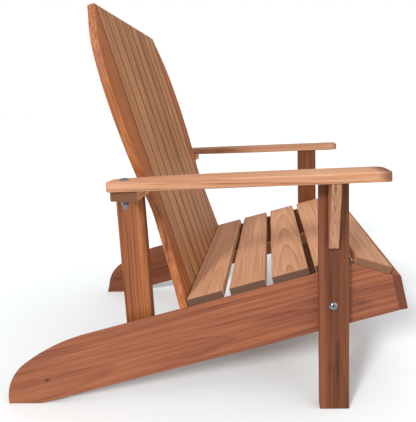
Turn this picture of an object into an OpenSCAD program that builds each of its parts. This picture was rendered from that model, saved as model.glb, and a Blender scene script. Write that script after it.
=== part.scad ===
// Adirondack chair: plank side rails, a slatted seat that rolls over the front,
// a waisted and shouldered back of ten slats, and broad flat arms on bolted legs.
// Millimetres. +X is the front of the chair, +Z is up, Y = 0 is the plane of symmetry,
// and the origin is on the ground under the middle of the chair.

/* [Side rails] */
// Width across the outer faces of the two side rails, and the length of every seat slat
seat_w = 564; // [540:2:600]
// Thickness of the planks: rails, legs, arms, posts and cross rails
plank_t = 22; // [20:0.5:25]
// Depth of a side rail, square to its slope
rail_depth = 139; // [130:1:145]
// Slope of the seat, in degrees
seat_slope = 14.6; // [13.5:0.1:15.5]
// Distance of the seat's front corner ahead of the middle of the front legs
corner_x = 48.5; // [44:0.5:52]
// Height of the seat's front corner on the side rail
corner_z = 341; // [330:1:350]
// Fall of the short slope ahead of the corner, in degrees
front_slope = 17.5; // [15:0.5:20]
// Length of the short slope ahead of the corner
front_run = 98.6; // [96:0.1:104]
// Lean of the rail's end cut from upright, in degrees
front_lean = 12; // [10:0.5:14]
// Straight length of the rail's top edge, from the corner to the heel's long curve
heel_straight = 663.3; // [655:0.1:670]
// Radius of the heel's long curve
heel_long_r = 441; // [430:1:450]
// Turn of the heel's long curve, in degrees
heel_turn = 22.3; // [21.5:0.1:23]
// Radius of the heel's short curve, down to the ground
heel_short_r = 105.5; // [100:0.5:110]
// Width of the flat land left along the rail's top edge, outside its bevel
land_w = 4; // [3:0.5:8]
// Depth of the bevel along the rail's inner top edge
bevel_h = 15; // [8:1:18]

/* [Seat] */
// Thickness of the slats and the apron
slat_t = 19; // [18:0.5:20]
// Width of a seat slat
slat_w = 89; // [87:0.5:90]
// Gap between two seat slats
slat_gap = 16.2; // [14:0.1:16.5]
// Depth of the centre support and the front blocks under the slats
support_h = 30; // [28:1:31]
// Depth of the blocks under the ends of the seat slats
block_h = 40; // [36:1:42]

/* [Legs and arms] */
// Width of a front leg
leg_w = 69; // [64:1:72]
// Height of the arm's underside over the middle of the front leg
arm_z = 546.8; // [540:0.1:555]
// Fall of the arm to the rear, in degrees
arm_tilt = 1.5; // [1:0.1:2]
// Arm's front end, ahead of the middle of the leg
arm_front = 118; // [110:1:125]
// Arm's rear end, behind the middle of the leg
arm_rear = 498; // [497:1:505]
// Distance between the outer edges of the two arms
arm_span = 711; // [706:1:716]
// Width of the arm at its front
arm_w_front = 81; // [78:1:83]
// Width of the arm where its inner edge starts to curve
arm_w_mid = 76; // [74:1:78]
// Radius of the curve that narrows the arm to the rear
arm_taper_r = 1670; // [1600:10:1800]
// Width of a rear post
post_w = 64; // [60:1:66]
// Lean of a rear post to the rear, in degrees
post_tilt = 2.8; // [2.4:0.1:3]
// Width of the rear rail under the arms
rear_rail_w = 63.5; // [62:0.5:65]
// Reach of an arm bracket at its top
bracket_top = 49; // [46:1:50]
// Reach of an arm bracket at its foot
bracket_foot = 11; // [9:1:13]
// Height of an arm bracket
bracket_h = 157; // [150:1:162]

/* [Back] */
// Recline of the back from upright, in degrees
recline = 16.9; // [16.5:0.1:17.2]
// Distance of the back's front face behind the middle of the leg, at seat height
back_x = 350.2; // [350:0.1:352]
// Height at which that distance is taken
back_z = 256.8; // [256:0.1:258]
// Length of the narrow slats above that height, along the slope
back_len = 748.3; // [740:0.1:755]
// Width of a narrow back slat
back_slat_w = 52; // [51:0.5:52.5]
// Spacing of the narrow back slats
back_pitch = 54.5; // [54.5:0.1:55]
// Half-width of the back at its foot
foot_half = 287; // [284:1:290]
// Half-width of the back at its waist
waist_half = 252; // [250:1:255]
// Half-width of the back at its shoulders
shoulder_half = 291.5; // [285:0.5:292]
// Half-width of the back at its top
top_half = 220.3; // [220:0.1:226]

/* [Fasteners] */
// Diameter of the carriage bolts
bolt_d = 9.5; // [9:0.1:10]
// Length of the carriage bolts under the head
bolt_len = 63.5; // [62:0.5:65]
// Diameter of a wood screw's shank
screw_d = 4; // [3.5:0.1:4.5]
// Diameter of the dowels
dowel_d = 8; // [7:0.5:8.5]
// Clearance all round a fastener in its bore
fit = 0.05; // [0.04:0.01:0.1]

/* [Hidden] */
$fn = 64;
big_fn = 360;

// Timber and metal colours
red_timber = [0.47, 0.24, 0.14];
tan_timber = [0.66, 0.47, 0.30];
olive_timber = [0.52, 0.38, 0.24];
bright_metal = [0.80, 0.81, 0.82];

// Y positions of the planks on the left side; the right side mirrors them
rail_out = seat_w / 2;
rail_in = rail_out - plank_t;
leg_out = rail_out + plank_t;
arm_out = arm_span / 2;
inner_in = rail_in - plank_t;
inner_mid = rail_in - plank_t / 2;

// The side rail's outline: x is measured from the middle of the front legs
corner = [corner_x, corner_z];
back_dir = [-cos(seat_slope), -sin(seat_slope)];
under_dir = [sin(seat_slope), -cos(seat_slope)];
front_dir = [cos(front_slope), -sin(front_slope)];
end_dir = [sin(front_lean), -cos(front_lean)];
end_normal = [cos(front_lean), sin(front_lean)];
bottom_at = corner + rail_depth * under_dir;
front_top = corner + front_run * front_dir;
end_len = cross2(bottom_at - front_top, back_dir) / cross2(end_dir, back_dir);
front_bottom = front_top + end_len * end_dir;
heel_start = corner + heel_straight * back_dir;
long_centre = heel_start + heel_long_r * under_dir;
long_from = 90 + seat_slope;
long_to = long_from + heel_turn;
heel_join = long_centre + heel_long_r * unit(long_to);
short_centre = heel_join - heel_short_r * unit(long_to);
heel_ground = [short_centre.x - sqrt(pow(heel_short_r, 2) - pow(short_centre.y, 2)), 0];
heel_flat = [bottom_at.x - bottom_at.y / tan(seat_slope), 0];

// The leg's place puts the origin under the middle of the chair
foot_reach = heel_short_r - short_centre.x;
front_reach = (front_bottom + slat_t * end_normal).x;
leg_x = (foot_reach - front_reach) / 2;

// Seat slats, measured back from the corner along the slope
slat_pitch = slat_w + slat_gap;
slat_setback = 0.5;
bevel_stop = 12;
support_from = -375;
support_to = -16;
block_len = 60;
block_inset = (slat_w - block_len) / 2;
first_block_from = -372;
slope_block = [12, 62];
apron_block = [22, 76];

// The back's outer edge, up the slope from the seat: foot, waist, shoulder, top
edge_steps = 14;
foot_s = -20.3;
waist_s = 216;
shoulder_s = 491.5;
outer_in = 4 * back_pitch + (back_pitch - back_slat_w) / 2;
foot_out = rail_in - 2;
slat_foot_s = -95;

// Cross rails behind and in front of the back
lower_top_s = -26;
lower_h = 62;
batten_from_s = 520;
batten_h = 45;
batten_half = 245;
rear_rail_x = 495.3;
rear_rail_half = 348;
notch_half = 275;
post_x = 438.9;
post_z = 202;
post_foot = 105;
post_head = 330;

// Fasteners
bolt_x = -2;
bolt_z = 249;
arm_bolt_x = -465;
arm_bolt_y = 333;
head_d = 20.6;
head_h = 5;
neck_h = 6;
washer_d = 25;
washer_t = 2;
nut_w = 14.3;
nut_h = 8.3;
screw_head_d = 8.4;
screw_tip = 5;
sink = 0.3;
bracket_x = -2.5;
bracket_screw_x = 1;
bracket_screw_z = [485, 509];
dowel_len = 36;
rail_dowel_len = 38;

function unit(a) = [cos(a), sin(a)];
function cross2(a, b) = a.x * b.y - a.y * b.x;
function bezier(p, t) = pow(1 - t, 3) * p[0] + 3 * t * pow(1 - t, 2) * p[1]
    + 3 * pow(t, 2) * (1 - t) * p[2] + pow(t, 3) * p[3];
function slat_from(i) = -slat_setback - slat_w - (4 - i) * slat_pitch;
function block_from(i) = max(slat_from(i) + block_inset, first_block_from);
function block_to(i) = slat_from(i) + slat_w - block_inset;
function back_y(i) = (i - 5.5) * back_pitch;
// Y of the screws in back slat i: in the middle of a narrow one, near the inside of an outer one
function back_screw_y(i) = abs(i - 5.5) < 4 ? back_y(i) : sign(i - 5.5) * (outer_in + 17);

// ---------- frames of reference ----------

module from_leg() { translate([leg_x, 0, 0]) children(); }

// x runs forward up the seat's slope, z is square to it, y is across; at the seat's front corner
module seat_frame() { translate([corner.x, 0, corner.y]) rotate([0, -seat_slope, 0]) children(); }

// x runs forward down the short slope
module slope_frame() { translate([corner.x, 0, corner.y]) rotate([0, front_slope, 0]) children(); }

// x runs down the rail's end cut, z points forward out of it
module apron_frame() {
    translate([front_top.x, 0, front_top.y]) rotate([0, 90 - front_lean, 0]) children();
}

// x = 0 is the back's front face and z runs up it
module back_frame() { translate([-back_x, 0, back_z]) rotate([0, -recline, 0]) children(); }

// z = 0 is the underside of the arms
module arm_frame() { translate([0, 0, arm_z]) rotate([0, -arm_tilt, 0]) children(); }

module post_frame() { translate([-post_x, 0, post_z]) rotate([0, -post_tilt, 0]) children(); }

module mirrored() { mirror([0, 1, 0]) children(); }

module both_sides() {
    children();
    mirrored() children();
}

// An outline in X and Z, made into a plank from y to y + t
module plank(y, t) { translate([0, y + t, 0]) rotate([90, 0, 0]) linear_extrude(t) children(); }

// ---------- outline helpers ----------

// What an arc from a to b adds outside its chord
module arc_cap(centre, r, a, b) {
    mid = unit((a + b) / 2);
    from = centre + r * unit(a);
    to = centre + r * unit(b);
    intersection() {
        translate(centre) circle(r, $fn = big_fn);
        polygon([from, from + mid * r, to + mid * r, to, (from + to) / 2 - mid * r / 20]);
    }
}

// Takes a square corner away down to a round of radius r; the corner is at p, turned by a
module corner_cut(p, a, r) {
    translate(p) rotate(a) difference() {
        translate([-1, -1]) square(r + 1);
        translate([r, r]) circle(r);
    }
}

// ---------- fasteners, each along +z from its head's seat; c widens it into a bore ----------

module screw(len, c = 0) {
    top = c > 0 ? -1 : sink;
    head_r = screw_head_d / 2 + c;
    r = screw_d / 2 + c;
    rotate_extrude() polygon([
        [0, top], [head_r, top], [head_r, 1], [r, 1 + head_r - r],
        [r, len - screw_tip], [0, len + c]
    ]);
}

module carriage_bolt() {
    dome_r = (pow(head_d / 2, 2) + pow(head_h, 2)) / (2 * head_h);
    rotate_extrude() intersection() {
        translate([0, dome_r - head_h]) circle(dome_r);
        translate([0, -head_h]) square([head_d / 2, head_h]);
    }
    cylinder(h = bolt_len, d = bolt_d);
    translate([-bolt_d / 2, -bolt_d / 2, 0]) cube([bolt_d, bolt_d, neck_h]);
}

module bolt_bore() {
    neck = bolt_d + 2 * fit;
    translate([0, 0, -1]) cylinder(h = bolt_len + 2, d = bolt_d + 2 * fit);
    translate([-neck / 2, -neck / 2, -1]) cube([neck, neck, neck_h + 1 + fit]);
}

module washer() {
    difference() {
        cylinder(h = washer_t, d = washer_d);
        translate([0, 0, -1]) cylinder(h = washer_t + 2, d = bolt_d + 0.7);
    }
}

module nut() {
    difference() {
        cylinder(h = nut_h, d = nut_w / cos(30), $fn = 6);
        translate([0, 0, -1]) cylinder(h = nut_h + 2, d = bolt_d + 2 * fit);
    }
}

// A dowel centred on a joint plane z = 0
module dowel(len, c = 0) {
    translate([0, 0, -len / 2 - c]) cylinder(h = len + 2 * c, d = dowel_d + 2 * c);
}

// ---------- where the fasteners go (left side where they come in pairs) ----------

module at_leg_bolt() { translate([bolt_x, leg_out, bolt_z]) rotate([90, 0, 0]) children(); }

module at_arm_bolt() {
    arm_frame() translate([arm_bolt_x, arm_bolt_y, plank_t]) mirror([0, 0, 1]) children();
}

module at_bracket_screws() {
    for (z = bracket_screw_z) {
        translate([bracket_screw_x, rail_out, z]) rotate([-90, 0, 0]) children();
    }
}

// Up through a block into seat slat i, two to an end
module at_seat_screws(i) {
    mid = (block_from(i) + block_to(i)) / 2;
    for (dx = [-16, 16]) seat_frame() translate([mid + dx, inner_mid, -block_h]) children();
}

// Up through the centre support into seat slat i
module at_support_screw(i) {
    x = max(slat_from(i) + slat_w / 2, support_from + 15);
    seat_frame() translate([x, 0, -support_h]) children();
}

// Out through seat block i into the side rail
module at_seat_block_screw(i) {
    mid = (block_from(i) + block_to(i)) / 2;
    seat_frame() translate([mid, inner_in, bevel_h / 2 - block_h + 5]) rotate([-90, 0, 0]) children();
}

// Out through the front blocks into the side rail
module at_slope_block_screw() {
    slope_frame() translate([slope_block[0] + 11, inner_in, -support_h / 2]) rotate([-90, 0, 0]) children();
}

module at_apron_block_screw() {
    apron_frame() translate([apron_block[0] + 12, inner_in, -support_h / 2]) rotate([-90, 0, 0]) children();
}

module at_front_slat_screw() {
    slope_frame() translate([slope_block[1] - 16, inner_mid, -support_h]) children();
}

module at_apron_screw() { apron_frame() translate([apron_block[1] - 18, inner_mid, -support_h]) children(); }

// Back through the lower rail into back slat i
module at_lower_back_screw(i) {
    back_frame() translate([plank_t, back_screw_y(i), lower_top_s - lower_h / 2])
        rotate([0, -90, 0]) children();
}

// Forward through the rear rail into back slat i
module at_rear_rail_screw(i) {
    arm_frame() translate([-rear_rail_x, back_screw_y(i), -plank_t / 2]) rotate([0, 90, 0]) children();
}

// Forward through the upper batten into back slat i
module at_batten_screw(i) {
    back_frame() translate([-2 * slat_t, back_screw_y(i), batten_from_s + batten_h / 2])
        rotate([0, 90, 0]) children();
}

// Out through the foot of a post into the side rail
module at_post_foot_screws() {
    for (z = [-78, -24]) {
        post_frame() translate([-post_w / 2, inner_in, z]) rotate([-90, 0, 0]) children();
    }
}

// Down through the rear rail into the head of a post
module at_post_head_screw() {
    arm_frame() translate([-480, inner_mid, 0]) mirror([0, 0, 1]) children();
}

module at_arm_dowels() {
    leg_mid = rail_out + plank_t / 2;
    for (p = [[-18, leg_mid], [18, leg_mid], [bracket_x, leg_out + 26]]) {
        arm_frame() translate([p.x, p.y, 0]) children();
    }
}

module at_rail_dowels() {
    for (s = [lower_top_s - 15, lower_top_s - lower_h + 15]) {
        back_frame() translate([plank_t / 2, rail_in, s]) rotate([-90, 0, 0]) children();
    }
}

seat_screw_len = 52;
support_screw_len = 42;
side_screw_len = 40;
bracket_screw_len = 45;
lower_screw_len = 36;
rear_screw_len = 54;
batten_screw_len = 32;
post_head_len = 52;

// ---------- side rails, legs and arms ----------

module rail_outline() {
    polygon([
        corner, heel_start, heel_join, heel_ground, heel_flat, front_bottom, front_top
    ]);
    arc_cap(long_centre, heel_long_r, long_from, long_to);
    arc_cap(short_centre, heel_short_r, long_to, 180 + asin(short_centre.y / heel_short_r));
}

// Y and height above the top edge of what the bevel takes away, as corners of a quadrilateral
function bevel_corners() = [
    [rail_in - 1, -bevel_h - bevel_h / (plank_t - land_w)],
    [rail_out - land_w + 1, bevel_h / (plank_t - land_w)],
    [rail_out - land_w + 1, 20],
    [rail_in - 1, 20]
];

// Along the inner top edge, stopped short of the seat's corner and of the heel
module rail_bevel() {
    seat_frame() translate([bevel_stop - heel_straight, 0, 0]) rotate([90, 0, 90])
        linear_extrude(heel_straight - 2 * bevel_stop) polygon(bevel_corners());
}

module side_rail() {
    from_leg() difference() {
        plank(rail_in, plank_t) rail_outline();
        at_leg_bolt() bolt_bore();
        for (i = [1:4]) at_seat_block_screw(i) screw(side_screw_len, fit);
        at_slope_block_screw() screw(side_screw_len, fit);
        at_apron_block_screw() screw(side_screw_len, fit);
        at_post_foot_screws() screw(side_screw_len, fit);
        at_rail_dowels() dowel(rail_dowel_len, fit);
        rail_bevel();
    }
}

module side_rail_right() { color(red_timber) mirrored() side_rail(); }
module side_rail_left() { color(red_timber) side_rail(); }

module front_leg() {
    half = leg_w / 2;
    toe_r = 3;
    from_leg() difference() {
        plank(rail_out, plank_t) difference() {
            polygon([
                [-half, 0], [half, 0],
                [half, arm_z + half * tan(arm_tilt)], [-half, arm_z - half * tan(arm_tilt)]
            ]);
            corner_cut([-half, 0], 0, toe_r);
            corner_cut([half, 0], 90, toe_r);
        }
        at_leg_bolt() bolt_bore();
        at_bracket_screws() screw(bracket_screw_len, fit);
        at_arm_dowels() dowel(dowel_len, fit);
    }
}

module front_leg_right() { color(red_timber) mirrored() front_leg(); }
module front_leg_left() { color(red_timber) front_leg(); }

// Seen from above, with the arm's front to the right and its outer edge up
module arm_outline() {
    curve_x = -200;
    front_in = arm_out - arm_w_front;
    curve_in = arm_out - arm_w_mid;
    taper = atan((curve_in - front_in) / (arm_front - curve_x));
    curve_centre = [curve_x, curve_in] + arm_taper_r * unit(90 - taper);
    rear_in = curve_centre.y - sqrt(pow(arm_taper_r, 2) - pow(arm_rear + curve_centre.x, 2));
    rear_r = 17;
    inner_front_r = 24;
    outer_front_r = 12;
    outer_rear_r = 6;
    difference() {
        union() {
            polygon([
                [arm_front, front_in], [arm_front, arm_out], [-arm_rear, arm_out],
                [-arm_rear, rear_in], [curve_x, curve_in]
            ]);
            intersection() {
                translate(curve_centre) circle(arm_taper_r, $fn = big_fn);
                polygon([
                    [-arm_rear, rear_in + 10], [-arm_rear, rear_in - 30],
                    [curve_x, curve_in - 30], [curve_x, curve_in + 10]
                ]);
            }
        }
        corner_cut([-arm_rear, rear_in], -5, rear_r);
        corner_cut([arm_front, front_in], 90, inner_front_r);
        corner_cut([arm_front, arm_out], 180, outer_front_r);
        corner_cut([-arm_rear, arm_out], 270, outer_rear_r);
    }
}

module arm() {
    from_leg() difference() {
        arm_frame() linear_extrude(plank_t) arm_outline();
        at_arm_bolt() bolt_bore();
        at_arm_dowels() dowel(dowel_len, fit);
    }
}

module arm_right() { color(tan_timber) mirrored() arm(); }
module arm_left() { color(red_timber) arm(); }

module arm_bracket() {
    top = arm_z + 5;
    lip = 14;
    foot_z = arm_z - bracket_h;
    foot_r = 4;
    from_leg() difference() {
        translate([bracket_x - plank_t / 2, leg_out, 0]) rotate([90, 0, 90]) linear_extrude(plank_t)
            difference() {
                polygon([
                    [0, top], [bracket_top, top], [bracket_top, arm_z - lip],
                    [bracket_foot, foot_z], [0, foot_z]
                ]);
                corner_cut([bracket_foot, foot_z], 90, foot_r);
            }
        arm_frame() translate([-50, 0, 0]) cube([100, arm_span, 50]);
        at_bracket_screws() screw(bracket_screw_len, fit);
        at_arm_dowels() dowel(dowel_len, fit);
    }
}

module arm_bracket_right() { color(tan_timber) mirrored() arm_bracket(); }
module arm_bracket_left() { color(tan_timber) arm_bracket(); }

module rear_post() {
    from_leg() difference() {
        post_frame() translate([-post_w, inner_in, -post_foot]) cube([post_w, plank_t, post_foot + post_head]);
        arm_frame() translate([-600, 0, -plank_t]) cube([300, arm_span, 100]);
        at_post_foot_screws() screw(side_screw_len, fit);
        at_post_head_screw() screw(post_head_len, fit);
    }
}

module rear_post_right() { color(olive_timber) mirrored() rear_post(); }
module rear_post_left() { color(olive_timber) rear_post(); }

module rear_rail_outline() {
    end_r = 10;
    difference() {
        translate([-rear_rail_x, -rear_rail_half]) square([rear_rail_w, 2 * rear_rail_half]);
        for (side = [0, 1]) {
            mirror([0, side]) {
                corner_cut([-rear_rail_x, rear_rail_half], 270, end_r);
                corner_cut([rear_rail_w - rear_rail_x, rear_rail_half], 180, end_r);
            }
        }
    }
}

module rear_rail() {
    color(red_timber) from_leg() difference() {
        arm_frame() translate([0, 0, -plank_t]) linear_extrude(plank_t) rear_rail_outline();
        back_frame() translate([-slat_t, -notch_half, 150]) cube([150, 2 * notch_half, 300]);
        for (i = [1:10]) at_rear_rail_screw(i) screw(rear_screw_len, fit);
        both_sides() at_arm_bolt() bolt_bore();
        both_sides() at_post_head_screw() screw(post_head_len, fit);
    }
}

// ---------- the back ----------

module back_slat_bores(i) {
    at_lower_back_screw(i) screw(lower_screw_len, fit);
    at_rear_rail_screw(i) screw(rear_screw_len, fit);
    at_batten_screw(i) screw(batten_screw_len, fit);
}

// An outline in Y and up the slope, made into a slat behind the back's front face
module slat_board() {
    translate([-slat_t, 0, 0]) rotate([90, 0, 90]) linear_extrude(slat_t) children();
}

module narrow_back_slat(i) {
    from_leg() difference() {
        back_frame() slat_board() translate([back_y(i) - back_slat_w / 2, slat_foot_s])
            square([back_slat_w, back_len - slat_foot_s]);
        back_slat_bores(i);
    }
}

// The curve of the back's outer edge, as points of Y and height up the slope
module outer_slat_outline() {
    curves = [
        [[foot_half, foot_s], [foot_half - 14, 38], [waist_half, 173], [waist_half, waist_s]],
        [[waist_half, waist_s], [waist_half, 258], [shoulder_half, 321], [shoulder_half, shoulder_s]],
        [[shoulder_half, shoulder_s], [shoulder_half, 661], [top_half + 24, 691], [top_half, back_len]]
    ];
    edge = [for (c = curves, k = [0:edge_steps - 1]) bezier(c, k / edge_steps)];
    polygon(concat(
        [[outer_in, slat_foot_s], [foot_out, slat_foot_s], [foot_out, foot_s - 20], [foot_half, foot_s - 20]],
        edge,
        [[top_half, back_len], [outer_in, back_len]]
    ));
}

module outer_back_slat() {
    from_leg() difference() {
        back_frame() slat_board() outer_slat_outline();
        seat_frame() translate([-600, foot_out, -200]) cube([600, 60, 200]);
        back_slat_bores(10);
    }
}

module back_slat_1() { color(tan_timber) mirrored() outer_back_slat(); }
module back_slat_2() { color(olive_timber) narrow_back_slat(2); }
module back_slat_3() { color(olive_timber) narrow_back_slat(3); }
module back_slat_4() { color(olive_timber) narrow_back_slat(4); }
module back_slat_5() { color(olive_timber) narrow_back_slat(5); }
module back_slat_6() { color(olive_timber) narrow_back_slat(6); }
module back_slat_7() { color(olive_timber) narrow_back_slat(7); }
module back_slat_8() { color(olive_timber) narrow_back_slat(8); }
module back_slat_9() { color(olive_timber) narrow_back_slat(9); }
module back_slat_10() { color(tan_timber) outer_back_slat(); }

module upper_back_batten() {
    color(olive_timber) from_leg() difference() {
        back_frame() translate([-2 * slat_t, -batten_half, batten_from_s])
            cube([slat_t, 2 * batten_half, batten_h]);
        for (i = [1:10]) at_batten_screw(i) screw(batten_screw_len, fit);
    }
}

module lower_back_rail() {
    color(red_timber) from_leg() difference() {
        back_frame() translate([0, -rail_in, lower_top_s - lower_h]) cube([plank_t, 2 * rail_in, lower_h]);
        for (i = [1:10]) at_lower_back_screw(i) screw(lower_screw_len, fit);
        both_sides() at_rail_dowels() dowel(rail_dowel_len, fit);
    }
}

// ---------- the seat ----------

module seat_slat(i) {
    color(tan_timber) from_leg() difference() {
        seat_frame() translate([slat_from(i), -rail_out, 0]) cube([slat_w, seat_w, slat_t]);
        both_sides() at_seat_screws(i) screw(seat_screw_len, fit);
        at_support_screw(i) screw(support_screw_len, fit);
    }
}

module seat_slat_1() { seat_slat(1); }
module seat_slat_2() { seat_slat(2); }
module seat_slat_3() { seat_slat(3); }
module seat_slat_4() { seat_slat(4); }

module front_slope_slat() {
    color(tan_timber) from_leg() difference() {
        slope_frame() translate([2.5, -rail_out, 0]) cube([slat_w, seat_w, slat_t]);
        both_sides() at_front_slat_screw() screw(support_screw_len, fit);
    }
}

module front_apron() {
    nose_r = 8;
    color(red_timber) from_leg() difference() {
        apron_frame() plank(-rail_out, seat_w) difference() {
            square([end_len, slat_t]);
            corner_cut([0, slat_t], 270, nose_r);
        }
        both_sides() at_apron_screw() screw(support_screw_len, fit);
    }
}

module seat_centre_support() {
    support_t = 19;
    color(tan_timber) from_leg() difference() {
        seat_frame() translate([support_from, -support_t / 2, -support_h])
            cube([support_to - support_from, support_t, support_h]);
        for (i = [1:4]) at_support_screw(i) screw(support_screw_len, fit);
    }
}

// Under the left end of seat slat i, against the side rail
module seat_block(i) {
    from_leg() difference() {
        seat_frame() translate([block_from(i), inner_in, -block_h])
            cube([block_to(i) - block_from(i), plank_t, block_h]);
        at_seat_screws(i) screw(seat_screw_len, fit);
        at_seat_block_screw(i) screw(side_screw_len, fit);
    }
}

module seat_block_right_1() { color(olive_timber) mirrored() seat_block(1); }
module seat_block_right_2() { color(olive_timber) mirrored() seat_block(2); }
module seat_block_right_3() { color(olive_timber) mirrored() seat_block(3); }
module seat_block_right_4() { color(olive_timber) mirrored() seat_block(4); }
module seat_block_left_1() { color(olive_timber) seat_block(1); }
module seat_block_left_2() { color(olive_timber) seat_block(2); }
module seat_block_left_3() { color(olive_timber) seat_block(3); }
module seat_block_left_4() { color(olive_timber) seat_block(4); }

// Under the slat on the short slope
module slope_block_piece() {
    from_leg() difference() {
        slope_frame() translate([slope_block[0], inner_in, -support_h])
            cube([slope_block[1] - slope_block[0], plank_t, support_h]);
        at_slope_block_screw() screw(side_screw_len, fit);
        at_front_slat_screw() screw(support_screw_len, fit);
    }
}

// Behind the apron
module apron_block_piece() {
    from_leg() difference() {
        apron_frame() translate([apron_block[0], inner_in, -support_h])
            cube([apron_block[1] - apron_block[0], plank_t, support_h]);
        at_apron_block_screw() screw(side_screw_len, fit);
        at_apron_screw() screw(support_screw_len, fit);
    }
}

module slope_block_right() { color(olive_timber) mirrored() slope_block_piece(); }
module slope_block_left() { color(olive_timber) slope_block_piece(); }
module apron_block_right() { color(olive_timber) mirrored() apron_block_piece(); }
module apron_block_left() { color(olive_timber) apron_block_piece(); }

// ---------- fastener groups ----------

module leg_bolts() { color(bright_metal) from_leg() both_sides() at_leg_bolt() carriage_bolt(); }

module arm_bolts() { color(bright_metal) from_leg() both_sides() at_arm_bolt() carriage_bolt(); }

module at_bolt_ends() {
    both_sides() at_leg_bolt() translate([0, 0, 2 * plank_t]) children();
    both_sides() at_arm_bolt() translate([0, 0, 2 * plank_t]) children();
}

module bolt_washers() { color(bright_metal) from_leg() at_bolt_ends() washer(); }

module bolt_nuts() {
    color(bright_metal) from_leg() at_bolt_ends() translate([0, 0, washer_t]) nut();
}

module bracket_screws() {
    color(bright_metal) from_leg() both_sides() at_bracket_screws() screw(bracket_screw_len);
}

module seat_screws() {
    color(bright_metal) from_leg() both_sides() for (i = [1:4]) at_seat_screws(i) screw(seat_screw_len);
}

module support_screws() {
    color(bright_metal) from_leg() for (i = [1:4]) at_support_screw(i) screw(support_screw_len);
}

module block_screws() {
    color(bright_metal) from_leg() both_sides() {
        for (i = [1:4]) at_seat_block_screw(i) screw(side_screw_len);
        at_slope_block_screw() screw(side_screw_len);
        at_apron_block_screw() screw(side_screw_len);
    }
}

module front_slat_screws() {
    color(bright_metal) from_leg() both_sides() at_front_slat_screw() screw(support_screw_len);
}

module apron_screws() {
    color(bright_metal) from_leg() both_sides() at_apron_screw() screw(support_screw_len);
}

module lower_back_screws() {
    color(bright_metal) from_leg() for (i = [1:10]) at_lower_back_screw(i) screw(lower_screw_len);
}

module rear_rail_screws() {
    color(bright_metal) from_leg() for (i = [1:10]) at_rear_rail_screw(i) screw(rear_screw_len);
}

module batten_screws() {
    color(bright_metal) from_leg() for (i = [1:10]) at_batten_screw(i) screw(batten_screw_len);
}

module post_screws() {
    color(bright_metal) from_leg() both_sides() {
        at_post_foot_screws() screw(side_screw_len);
        at_post_head_screw() screw(post_head_len);
    }
}

module arm_dowels() { color(tan_timber) from_leg() both_sides() at_arm_dowels() dowel(dowel_len); }

module rail_dowels() { color(tan_timber) from_leg() both_sides() at_rail_dowels() dowel(rail_dowel_len); }

side_rail_right();
side_rail_left();
front_leg_right();
front_leg_left();
arm_right();
arm_left();
arm_bracket_right();
arm_bracket_left();
rear_post_right();
rear_post_left();
rear_rail();
back_slat_1();
back_slat_2();
back_slat_3();
back_slat_4();
back_slat_5();
back_slat_6();
back_slat_7();
back_slat_8();
back_slat_9();
back_slat_10();
upper_back_batten();
lower_back_rail();
seat_slat_1();
seat_slat_2();
seat_slat_3();
seat_slat_4();
front_slope_slat();
front_apron();
seat_centre_support();
seat_block_right_1();
seat_block_right_2();
seat_block_right_3();
seat_block_right_4();
seat_block_left_1();
seat_block_left_2();
seat_block_left_3();
seat_block_left_4();
slope_block_right();
slope_block_left();
apron_block_right();
apron_block_left();
leg_bolts();
arm_bolts();
bolt_washers();
bolt_nuts();
bracket_screws();
seat_screws();
support_screws();
block_screws();
front_slat_screws();
apron_screws();
lower_back_screws();
rear_rail_screws();
batten_screws();
post_screws();
arm_dowels();
rail_dowels();
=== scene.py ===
"""The looks of a cedar Adirondack chair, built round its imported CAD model.

Every timber is one plank: an outline in the plank's own frame, where X runs along the grain and
Z through the thickness, extruded, with its edges eased, and finished with its own cut of wood.
Metres; +X is the chair's front, +Z is up and Y = 0 is its plane of symmetry.
"""

import math

import bmesh
import bpy
from mathutils import Matrix, Vector


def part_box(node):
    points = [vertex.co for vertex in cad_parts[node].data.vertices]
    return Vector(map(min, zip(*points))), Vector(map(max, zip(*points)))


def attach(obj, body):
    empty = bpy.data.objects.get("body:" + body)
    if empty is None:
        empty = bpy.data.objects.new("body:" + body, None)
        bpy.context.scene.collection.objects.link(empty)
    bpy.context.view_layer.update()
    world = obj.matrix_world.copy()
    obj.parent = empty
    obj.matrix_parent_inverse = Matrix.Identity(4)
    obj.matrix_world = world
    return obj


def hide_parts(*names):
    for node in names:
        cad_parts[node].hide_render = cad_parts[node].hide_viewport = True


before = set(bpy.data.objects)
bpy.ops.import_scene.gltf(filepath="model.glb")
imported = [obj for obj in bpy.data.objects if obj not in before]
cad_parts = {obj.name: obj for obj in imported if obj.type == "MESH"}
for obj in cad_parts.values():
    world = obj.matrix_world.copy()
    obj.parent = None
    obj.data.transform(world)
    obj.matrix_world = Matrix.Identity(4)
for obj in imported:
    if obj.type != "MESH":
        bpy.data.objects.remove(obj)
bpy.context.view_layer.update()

# ---------------------------------------------------------------- sizes, from the frame and design

MM = 0.001
SEAT_SLOPE = math.radians(14.6)
FRONT_SLOPE = math.radians(17.5)
FRONT_LEAN = math.radians(12)
RECLINE = math.radians(16.9)
ARM_TILT = math.radians(1.5)
POST_TILT = math.radians(2.8)

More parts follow.
